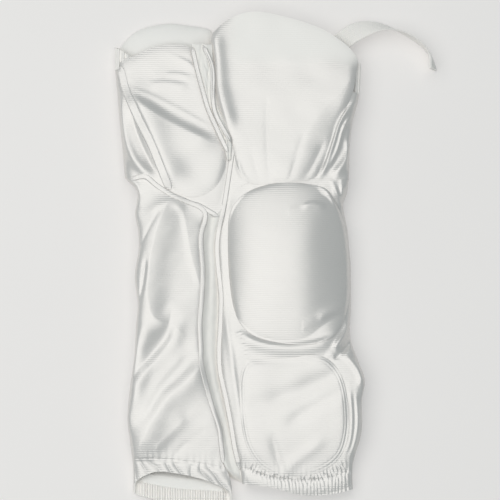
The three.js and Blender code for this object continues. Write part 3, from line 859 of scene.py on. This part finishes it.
for side, form, sections, cuff, relief, inside, flat in (
        ("left", left_leg_form, left_leg_sections, left_cuff, left_cuff_relief, left_cuff_lining,
         (0.28, 0.045)),
        ("right", right_leg_form, right_leg_sections, right_cuff, right_cuff_relief,
         right_cuff_lining, (0.30, 0.025))):
    cuff_form = Cloth(sections, relief, *form.folds)
    points, faces = tube_of_cloth(
        cuff_form, lambda x, share: cuff[0](x) - LEG_SEAM_GAP,
        lambda x, share: cuff[2](x) + (cuff[1](x) - cuff[2](x)) * share**CUFF_RIM_TURN,
        CUFF_WALL, CUFF_ROWS, CUFF_AROUND, CUFF_AROUND, inside)
    piece = add_piece(f"cuff_band_{side}", points, faces, elastic, f"cuff_{side}")
    piece.data.materials.append(satin)
    piece.data.materials.append(lining)
    number = np.arange(len(piece.data.polygons))
    row, column = np.divmod(number, 2 * CUFF_AROUND)
    inner_row = row - CUFF_ROWS
    casing = (row < CUFF_ROWS) & (column < CUFF_AROUND)
    lined = (inner_row >= 0) & (inner_row < CUFF_RIBBED_FROM * CUFF_ROWS)
    cloth = np.where(lined, LINED_INSIDE, np.where(casing, SATIN_CASING, BARE_ELASTIC))
    piece.data.polygons.foreach_set("material_index", cloth.astype(np.int32))


# Waistband: a ring of gathered elastic at the top of the seat. Only its two ends and a short
# stretch at the fly show between the pads.
WAIST_PLEAT_RISE = 1.4
WAIST_PLEAT_PITCH = 6.5
WAIST_PLEAT_JITTER = 1.8
WAIST_PLEAT_STRETCH = 0.4
WAIST_SIDE_SHARE = 0.01
waist_front_edge = [
    # across, top edge of the front layer
    (-186, 281),
    (-178, 278),
    (-170, 272),
    (-158, 264),
    (-140, 260),
    (-90, 272),
    (-62, 284),
    (-48, 270),
    (60, 262),
    (136, 246),
    (146, 258),
    (152, 259),
]
waist_front = smooth_columns(waist_front_edge)[0]


def waistband_relief(x, y):
    uneven = WAIST_PLEAT_JITTER * ripple(x, WAIST_PLEAT_STRETCH * y, length=30, seed=41)
    return WAIST_PLEAT_RISE * np.sin(2 * math.pi * x / WAIST_PLEAT_PITCH + uneven)


waist_form = Cloth(seat_sections, waistband_relief, *seat_form.folds)
points, faces = tube_of_cloth(
    waist_form, lambda x, share: np.where(share > WAIST_SIDE_SHARE, waist_front(x), waist_top(x)),
    lambda x, share: waist_seam(x), CUFF_WALL, rows=30, over=300, under=80)
waistband = add_piece("waistband_ring", points, faces, elastic, "waistband")


# Pads: soft foam in covers sewn down along their rims. The tongue-shaped hip pads rise above the
# waist, the tail pad lies inside the back layer, and the thigh and knee pads fill the right leg.
PAD_LIFT = 0.3
PAD_RIM = 0.15
PAD_STEP = 2.0
PAD_UNEVENNESS = 0.25
STITCH_DEPTH = 0.32
STITCH_WIDTH = 0.012
TAIL_PAD_HEIGHT = 14
TAIL_CROWN = 17
HIP_PAD_HEIGHT = 38
HIP_PAD_CROWN = 2.2
HIP_PAD_DROP = 7
HIP_DROP_FROM = 2
HIP_DROP_SPAN = 12
HIP_MATTE_FROM = (-26, 254)
THIGH_PAD_HEIGHT = 48
THIGH_CREST_X = 48
THIGH_LEFT_X = -60
THIGH_RIGHT_X = 158
THIGH_LEFT_BEND = 2.6
THIGH_RIGHT_BEND = 2.2
THIGH_HALF_LENGTH = 112
THIGH_BASE = 10
THIGH_ARCH = 45
THIGH_ARCH_LOSS = 14
THIGH_LEAST = 1.5
KNEE_PAD_HEIGHT = 38
KNEE_CROWN = 3.4
KNEE_CROWN_LOSS = 2.2
KNEE_LOWER_FROM = -225
KNEE_LOWER_SPAN = 75
KNEE_STITCH_ROWS = (0.92, 0.965)

hip_satin = knit_satin("hip_pad_satin", (HIP_MATTE_FROM + frame_offset[:2]) / MM_PER_METRE)


def pad_of_foam(outline, base, crown, rise, rim, edge, gentle, stitches=(), rings=72):
    """Points and faces of a crowned pad inside an outline, lying on a base."""
    middle = outline.mean(axis=0)
    reach = np.sin(math.pi / 2 * np.arange(1, rings + 1) / rings)[:, None]
    x = middle[0] + (outline[:, 0] - middle[0])[None, :] * reach
    y = middle[1] + (outline[:, 1] - middle[1])[None, :] * reach
    swell = np.clip(1 - reach**edge, 0, 1) ** gentle
    low = base(x, y)
    high = low + rim(x, y) + swell * (crown(x, y) - rim(x, y) + rise(x, y))
    beside = np.abs(x - middle[0]) / np.abs(outline[:, 0] - middle[0]).max()
    for row in stitches:
        high -= STITCH_DEPTH * beside * np.exp(-((reach - row) / STITCH_WIDTH) ** 2)
    around = len(outline)
    centre = middle[None, :]
    centre_low = base(centre[:, 0], centre[:, 1])
    centre_high = centre_low + crown(*centre.T) + rise(*centre.T)
    points = np.vstack([
        np.stack([x, y, high], axis=-1).reshape(-1, 3),
        np.stack([x, y, low], axis=-1).reshape(-1, 3),
        [[*middle, centre_high[0]], [*middle, centre_low[0]]]])
    upper = np.arange(rings * around).reshape(rings, around)
    lower = upper + rings * around
    faces = [quads_between(b, a) for a, b in zip(upper, upper[1:])]
    faces += [quads_between(a, b) for a, b in zip(lower, lower[1:])]
    faces.append(quads_between(lower[-1], upper[-1]))
    faces = np.vstack(faces).tolist()
    top_point = 2 * rings * around
    for i in range(around):
        j = (i + 1) % around
        faces.append([int(upper[0, i]), int(upper[0, j]), top_point])
        faces.append([int(lower[0, j]), int(lower[0, i]), top_point + 1])
    ring = outline - middle
    turning = np.sum(ring[:, 0] * np.roll(ring[:, 1], -1) - ring[:, 1] * np.roll(ring[:, 0], -1))
    if turning < 0:
        faces = [face[::-1] for face in faces]
    return points, faces


left_hip_outline_in_photo = [
    (124, 57.5), (136, 54), (151, 47), (171, 43), (187, 45), (193, 52), (199, 72), (204, 92),
    (210, 110), (218, 130), (226, 152), (224, 172), (213, 189), (194, 197), (176, 191), (166, 176),
    (156, 153), (144, 128), (134, 106), (126, 86), (120.5, 70), (119.5, 62),
]
left_hip_folds_in_photo = [
    ([(115, 92), (142, 107), (162, 119), (184, 131), (206, 141), (222, 149)], 5.0, 10, 34, 0),
    ([(122, 85), (150, 95), (176, 108), (218, 131)], 0.7, 4, 5, 0),
    ([(148, 84), (168, 83), (190, 86)], 1.7, 5, 10, 0),
    ([(164, 74), (178, 74), (191, 77)], 1.3, 4, 6, 0),
    ([(176, 56), (188, 62), (198, 70)], 1.0, 3, 5, 0),
    ([(139, 118), (151, 144), (161, 168), (170, 190)], 3.0, 24, 8, 0),
]
right_hip_outline_in_photo = [
    (211, 37), (217, 27), (228, 18), (242, 12), (257, 10), (276, 13), (302, 20), (321, 27),
    (336, 36), (350, 47), (358, 59), (356, 72), (353, 92), (341, 118), (333, 138), (328, 154),
    (321, 168), (312, 179), (283, 183), (254, 184), (243, 177), (236, 163), (232, 144),
    (221, 121), (214, 99), (213, 61),
]
right_hip_folds_in_photo = [
    ([(209, 8), (212, 35), (215, 60), (218, 85), (224, 110), (233, 142)], 5.0, 13, 6, 0),
    ([(267, 92), (267, 145), (271, 194)], -1.0, 4, 5, 0.6),
    ([(306, 128), (296, 158), (286, 192)], -1.1, 5, 6, 0.6),
    ([(326, 138), (313, 165), (297, 192)], -1.3, 5, 6, 0.6),
    ([(250, 146), (256, 170), (263, 192)], -0.7, 5, 5, 0.6),
]
tail_outline_in_photo = [
    (119, 60), (120, 46), (138, 29), (166, 22), (189, 24), (212, 30), (222, 55), (214, 95),
    (196, 135), (170, 150), (142, 132), (124, 95),
]
thigh_outline_in_photo = [
    (229.5, 213), (233, 204), (240, 196), (249, 190), (260, 185.5), (272, 182.5), (285, 181.5),
    (300, 182), (315, 184), (328, 189), (339, 206), (346, 226), (349, 246), (350, 268), (350, 290),
    (347, 309), (340, 327), (330, 338), (308, 344), (280, 342), (257, 336), (242, 325), (234, 307),
    (230, 284), (228, 255), (228, 225),
]
thigh_folds_in_photo = [
    ([(301, 207), (313, 204), (327, 206)], 2.0, 4, 7, 0),
    ([(325, 187), (330, 194), (337, 205)], 2.2, 3, 3, 0),
    ([(346, 305), (331, 311), (317, 319)], 1.8, 5, 8, 0),
]
knee_outline_in_photo = [
    (247, 361), (264, 359), (290, 358), (311, 355), (324, 357), (334, 364), (342, 376), (347, 394),
    (349, 416), (348, 435), (342, 454), (328, 467), (308, 474), (283, 475), (262, 467), (248, 449),
    (242, 428), (240, 403), (240, 377),
]
knee_folds_in_photo = [
    ([(230, 412), (285, 396), (308, 387), (330, 377), (352, 364)], -1.6, 13, 16, 0),
    ([(262, 402), (292, 393), (312, 385), (330, 377), (354, 362)], -1.7, 12, 14, 0),
    ([(236, 360), (270, 361), (300, 360), (326, 353)], -1.6, 6, 9, 0),
    ([(282, 426), (318, 404), (334, 394), (354, 382)], -1.8, 9, 10, 0),
    ([(271, 430), (278, 454), (288, 484)], -1.7, 5, 8, 0.1),
    ([(278, 480), (294, 462), (310, 450), (328, 436)], 1.3, 9, 8, 0),
]


def pad_piece(name, outline_px, folds, height, base, crown, rim, edge, gentle, material, node,
              stitches=()):
    """A pad in place of a CAD node, with the folds and a slight unevenness of its cover."""
    outline = curve_through(from_photo(outline_px, height), PAD_STEP, closed=True)

    def rise(x, y):
        uneven = PAD_UNEVENNESS * ripple(x, y, length=45, seed=len(outline))
        return fold_height(folds, height, x, y) + uneven

    points, faces = pad_of_foam(outline, base, crown, rise, rim, edge, gentle, stitches)
    pad = add_piece(name, points, faces, material, node)


def sewn_rim(x, y):
    return np.full(np.shape(x), PAD_RIM)


def hip_drop(x, y):
    """How far the lower face of a hip pad hangs below the seat's level, past the waistband."""
    return HIP_PAD_DROP * ease((y - waist_front(x) - HIP_DROP_FROM) / HIP_DROP_SPAN)


def on_seat(x, y):
    return seat_form.top(x, y) + PAD_LIFT - hip_drop(x, y)


def hip_crown(x, y):
    return HIP_PAD_CROWN + hip_drop(x, y)


def hip_rim(x, y):
    return PAD_RIM + hip_drop(x, y)


def on_right_leg(x, y):
    return right_leg_form.top(x, y) + PAD_LIFT


def on_back_layer(x, y):
    return np.full(np.shape(x), CUFF_WALL + PAD_LIFT)


def tail_crown(x, y):
    return TAIL_CROWN


def thigh_crown(x, y):
    """Height of the thigh pad: an arch that falls sooner on its right and is lower at its ends."""
    right = x > THIGH_CREST_X
    span = np.where(right, THIGH_RIGHT_X - THIGH_CREST_X, THIGH_CREST_X - THIGH_LEFT_X)
    across = (x - THIGH_CREST_X) / span
    bend = np.where(right, THIGH_RIGHT_BEND, THIGH_LEFT_BEND)
    along = (y - THIGH_PAD_MIDDLE[1]) / THIGH_HALF_LENGTH
    arch = (THIGH_ARCH - THIGH_ARCH_LOSS * along**2) * (1 - np.abs(across) ** bend)
    return np.maximum(THIGH_BASE + arch - on_right_leg(x, y), THIGH_LEAST)


def knee_crown(x, y):
    """Height of the knee pad, less towards the gathers of the cuff."""
    return KNEE_CROWN - KNEE_CROWN_LOSS * ease((KNEE_LOWER_FROM - y) / KNEE_LOWER_SPAN)


pad_piece("tail_pad_cover", tail_outline_in_photo, [], TAIL_PAD_HEIGHT,
          on_back_layer, tail_crown, sewn_rim, edge=5, gentle=0.6,
          material=lining, node="tail_pad")
pad_piece("hip_pad_cover_left", left_hip_outline_in_photo, left_hip_folds_in_photo, HIP_PAD_HEIGHT,
          on_seat, hip_crown, hip_rim, edge=16, gentle=1.3,
          material=satin, node="hip_pad_left")
pad_piece("hip_pad_cover_right", right_hip_outline_in_photo, right_hip_folds_in_photo, HIP_PAD_HEIGHT,
          on_seat, hip_crown, hip_rim, edge=22, gentle=1.2,
          material=hip_satin, node="hip_pad_right")
pad_piece("thigh_pad_cover", thigh_outline_in_photo, thigh_folds_in_photo, THIGH_PAD_HEIGHT,
          on_right_leg, thigh_crown, sewn_rim, edge=40, gentle=0.9,
          material=satin, node="thigh_pad")
pad_piece("knee_pad_cover", knee_outline_in_photo, knee_folds_in_photo, KNEE_PAD_HEIGHT,
          on_right_leg, knee_crown, sewn_rim, edge=18, gentle=1.3,
          material=satin, node="knee_pad", stitches=KNEE_STITCH_ROWS)


# Fly: a narrow crumpled strip of stretch knit between the two bound edges of the hip panels,
# open at the waist and closing to a point where the edges meet.
FLY_TOP = 284
FLY_BOTTOM = 121
FLY_CLOTH = 2.2
FLY_LIFT = 1.2
FLY_CORD = 2.0
FLY_CORD_TURN = 9
FLY_CREASE = 1.3
FLY_CREASES = 3.5
FLY_CREASE_SWAY = 0.4
FLY_CREASE_TURN = 14
FLY_PUCKER = 0.8
FLY_END_WAVE = 4
fly_edges = [
    # along, left edge, right edge
    (FLY_TOP, -80, -52),
    (252, -72, -50),
    (225, -65, -48.5),
    (196, -56, -43),
    (160, -42, -29),
    (143, -37, -25),
    (FLY_BOTTOM, -31, -26),
]
fly_left, fly_right = smooth_columns(fly_edges)


def fly_underside(x, y, share, t):
    """Cords and finer creases that wander across the strip on their way down it."""
    crumple = FLY_CORD * np.abs(np.sin(2 * math.pi * share + FLY_CORD_TURN * t))
    crumple = crumple + FLY_PUCKER * ripple(x, y, length=9, seed=51)
    sway = FLY_CREASE_SWAY * np.sin(FLY_CREASE_TURN * t)
    crumple = crumple + FLY_CREASE * np.abs(np.sin(math.pi * (FLY_CREASES * share + sway)))
    return seat_form.top(x, y) + FLY_LIFT + crumple * np.sin(math.pi * share) ** 0.5


def fly_top(x):
    return FLY_TOP + FLY_END_WAVE * ripple(x, 0 * x, length=16, seed=53)


def fly_bottom(x):
    return np.full(np.shape(x), float(FLY_BOTTOM))


points, faces = strip_of_cloth(
    fly_left, fly_right, fly_underside, fly_top, fly_bottom, FLY_CLOTH, rows=120, columns=24)
fly = add_piece("fly_strip", points, faces, matte_stretch, "fly_placket")


# Belt strap: flat ribbed elastic webbing sewn in behind the right hip pad. It leaves the waist
# flat, turns on edge as it curls over the surface, and ends in a folded, stitched tip.
STRAP_WIDTH = 27
STRAP_THICKNESS = 2
STRAP_HEM_FROM = 0.88
STRAP_HEM_LAYERS = 2
STRAP_STEP = 1.6
STRAP_POINTS_ACROSS = 73
STRAP_RIBS = 9
STRAP_RIB_DEPTH = 0.16
STRAP_EDGE = 14
STRAP_LEAST = 0.02
strap_route = [
    # across, along, height, roll from flat in degrees with the inner edge up
    (108, 274, 17, 0),
    (129, 294, 17, 3),
    (150, 307, 16.5, 16),
    (174, 312.5, 15.5, 48),
    (199, 309, 14.6, 76),
    (221, 299, 14.2, 87),
    (239, 285, 14, 88),
    (248.5, 269, 14, 82),
    (251.4, 253, 14, 70),
]
route = curve_through(strap_route, STRAP_STEP)
ahead = headings(route[:, :3])
up = np.array([0, 0, 1.0])
side = np.cross(ahead, up)
side /= np.linalg.norm(side, axis=1)[:, None]
roll = np.radians(route[:, 3])[:, None]
strap_across = side * np.cos(roll) + up * np.sin(roll)
strap_face = np.cross(strap_across, ahead)
v = np.linspace(-1, 1, STRAP_POINTS_ACROSS)
ribbed = 1 + STRAP_RIB_DEPTH * np.cos(STRAP_RIBS * math.pi * v)
profile = np.sqrt(np.clip(1 - np.abs(v) ** STRAP_EDGE, STRAP_LEAST, 1)) * ribbed
along = np.linspace(0, 1, len(route))[:, None]
layers = np.where(along > STRAP_HEM_FROM, STRAP_HEM_LAYERS, 1)
half = STRAP_THICKNESS / 2 * layers
middle = route[:, None, :3]
face_side = middle + strap_across[:, None, :] * (v * STRAP_WIDTH / 2)[None, :, None]
front = face_side + strap_face[:, None, :] * (half * profile)[..., None]
back = face_side - strap_face[:, None, :] * (half * profile)[..., None]
loops = np.concatenate([front, back[:, ::-1]], axis=1)
faces = [face[::-1] for face in strip_faces(loops)]
strap = add_piece("belt_strap_webbing", loops.reshape(-1, 3), faces, elastic, "belt_strap")


# Rolled seams and bindings: satin tape folded over the raw edges and topstitched. The inseams
# roll up into soft cords; the fly and the left hip pad are bound with flat tape.
TAPE_STEP = 1.4
TAPE_POINTS_ACROSS = 25
TAPE_MOST_DROP = 7
TAPE_EVENING = 11
TAPE_BACK = 0.4
TAPE_TILT = 0.35
TAPE_EDGE = 8
TAPE_GROOVE = 0.14
TAPE_END_STEPS = 5
TAPE_END_LEAST = 0.03
left_seam_in_photo = [
    (131, 179), (145, 177), (157, 186), (171, 195), (187, 202), (199, 207), (205, 213), (205, 221),
    (202, 231), (201, 241), (202, 256), (203, 271), (202, 297), (200, 322), (201, 349), (201, 362),
    (205, 380), (211, 403), (219, 426), (221, 442), (223, 462),
]
crotch_seam_in_photo = [(192, 203), (201, 207), (210, 212), (219, 217)]
right_seam_in_photo = [
    (233, 148), (229, 175), (224, 207), (219, 229), (217, 246), (218, 265), (220, 284), (221, 300),
    (220, 330), (219, 349), (220, 371), (226, 399), (231, 425), (235, 448), (240, 468),
]
hip_binding_in_photo = [
    (120, 65), (125, 87), (131, 102), (139, 120), (151, 144), (160, 166), (170, 190),
]
left_fly_binding_in_photo = [(192, 46), (197, 68), (202, 87), (208, 108), (217, 129), (228, 153)]
right_fly_binding_in_photo = [(203, 44), (211, 62), (213, 76), (213, 99), (217, 117), (231, 142)]
legs = ["leg_cloth_left", "leg_cloth_right", "gusset_strip", "seat_cloth"]
left_hip = ["seat_cloth", "hip_pad_cover_left"]
left_of_fly = ["seat_cloth", "hip_pad_cover_left", "fly_strip"]
right_of_fly = ["seat_cloth", "hip_pad_cover_right", "fly_strip"]
tapes = [
    # name, line, height, width, thickness, pieces it lies on, sink, grooves
    ("rolled_seam_left", left_seam_in_photo, 36, 7, 1.3, legs, 0.3, 0),
    ("rolled_seam_crotch", crotch_seam_in_photo, 36, 7, 1.2, legs, 0.3, 1),
    ("rolled_seam_right", right_seam_in_photo, 34, 7, 1.3, legs, 0.3, 0),
    ("hip_pad_binding", hip_binding_in_photo, 40, 11, 0.9, left_hip, 0.3, 3),
    ("fly_binding_left", left_fly_binding_in_photo, 40, 7, 2.0, left_of_fly, 0.2, 1),
    ("fly_binding_right", right_fly_binding_in_photo, 40, 7, 2.0, right_of_fly, 0.2, 1),
]


def taped_edge(name, pixels, height, width, thickness, lies_on, sink, grooves):
    """A soft tape swept along a line of the photograph, lying on the named pieces."""
    line = curve_through(from_photo(pixels, height), TAPE_STEP)
    ahead = headings(line)
    side = np.stack([ahead[:, 1], -ahead[:, 0]], axis=1)
    lanes = np.stack([height_under(line + off * width / 2 * side, lies_on) for off in (-1, 0, 1)])
    lanes[1] = np.maximum(lanes[1], (lanes[0] + lanes[2]) / 2)
    lanes = np.maximum(lanes, lanes.max(axis=0) - TAPE_MOST_DROP)
    evening = np.ones(TAPE_EVENING) / TAPE_EVENING
    evened = [np.convolve(np.pad(lane, TAPE_EVENING // 2, mode="edge"), evening, mode="valid")
              for lane in lanes]
    u = np.linspace(-1, 1, TAPE_POINTS_ACROSS)
    bell = 1 - u**TAPE_EDGE
    if grooves:
        bell *= 1 - TAPE_GROOVE * np.cos(u * grooves * math.pi) ** 2
    along = np.linspace(0, 1, len(line))
    from_end = np.minimum(along, 1 - along) * len(line)
    taper = np.sqrt(np.clip(from_end / TAPE_END_STEPS, TAPE_END_LEAST, 1))[:, None]
    base = np.stack([np.interp(u, (-1, 0, 1), at) for at in np.stack(evened, axis=1)]) - sink
    crest = base.max(axis=1)[:, None]
    x = line[:, 0, None] + side[:, 0, None] * u * width / 2 * taper
    y = line[:, 1, None] + side[:, 1, None] * u * width / 2 * taper
    upper = np.stack([x, y, crest + TAPE_TILT * (base - crest) + thickness * bell * taper], axis=-1)
    lower = np.stack([x, y, base - TAPE_BACK], axis=-1)
    points = np.concatenate([upper[:, ::-1], lower], axis=1)
    number = np.arange(points[..., 0].size).reshape(len(line), -1)
    faces = np.vstack([quads_between(a, b) for a, b in zip(number, number[1:])]).tolist()
    faces += [number[0][::-1].tolist(), number[-1].tolist()]
    add_piece(name, points.reshape(-1, 3), faces, satin)


for tape in tapes:
    taped_edge(*tape)


# Floor, light and camera: a pale studio table, faintly lit from below, under one large soft light
# above and to the left, seen almost straight from above, from the side of the cuffs.
FLOOR_SIZE = 6
FLOOR_GAP = 0.0005
FLOOR_GLOW = 0.3
FLOOR_SHADES = ((0.566, 0.54, 0.522, 1), (0.586, 0.56, 0.542, 1))
bpy.ops.object.select_all(action="DESELECT")
bpy.ops.mesh.primitive_plane_add(size=FLOOR_SIZE, location=(0, 0, -FLOOR_GAP))
floor = bpy.context.object
floor.name = "floor"
floor_material, floor_shader, floor_place = new_cloth(
    "pale_floor", roughness=0.7, metallic=0.0, sheen=0.0)
floor_grain = floor_place.node("ShaderNodeTexNoise", None, {"Vector": floor_place, "Scale": 3.0})
floor_tone = floor_place.node("ShaderNodeMix", {"data_type": "RGBA"}, {
    "Factor": floor_grain, "A": FLOOR_SHADES[0], "B": FLOOR_SHADES[1]}, 2)
floor_tone.feed(floor_shader, "Base Color")
floor_shader.inputs["Emission Color"].default_value = (1, 1, 1, 1)
floor_shader.inputs["Emission Strength"].default_value = FLOOR_GLOW
floor.data.materials.append(floor_material)

key = bpy.data.lights.new("soft_light", "AREA")
key.shape = "RECTANGLE"
key.size = 5.8
key.size_y = 7.2
key.energy = 192
key.color = (1.0, 0.985, 0.96)
key_light = bpy.data.objects.new("soft_light", key)
key_light.location = (-1.6, 0.2, 3.9)
key_light.visible_camera = False
bpy.context.collection.objects.link(key_light)

world = bpy.data.worlds.new("studio")
world.use_nodes = True
surround = world.node_tree.nodes["Background"].inputs
surround["Color"].default_value = (0.76, 0.926, 1, 1)
surround["Strength"].default_value = 0.248
bpy.context.scene.world = world
bpy.context.scene.view_settings.view_transform = "Standard"

SENSOR = 36
camera_data = bpy.data.cameras.new("camera")
camera_data.sensor_width = SENSOR
camera_data.lens = SENSOR * VIEW_DISTANCE / (2 * PHOTO_MIDDLE * MM_PER_PIXEL)
camera = bpy.data.objects.new("camera", camera_data)
aim = Vector((*frame_offset[:2], VIEW_AIM_HEIGHT)) / MM_PER_METRE
back = Vector((0, -math.cos(VIEW_ELEVATION), math.sin(VIEW_ELEVATION)))
camera.location = aim + back * VIEW_DISTANCE / MM_PER_METRE
camera.rotation_euler = (-back).to_track_quat("-Z", "Y").to_euler()
bpy.context.collection.objects.link(camera)
bpy.context.scene.camera = camera
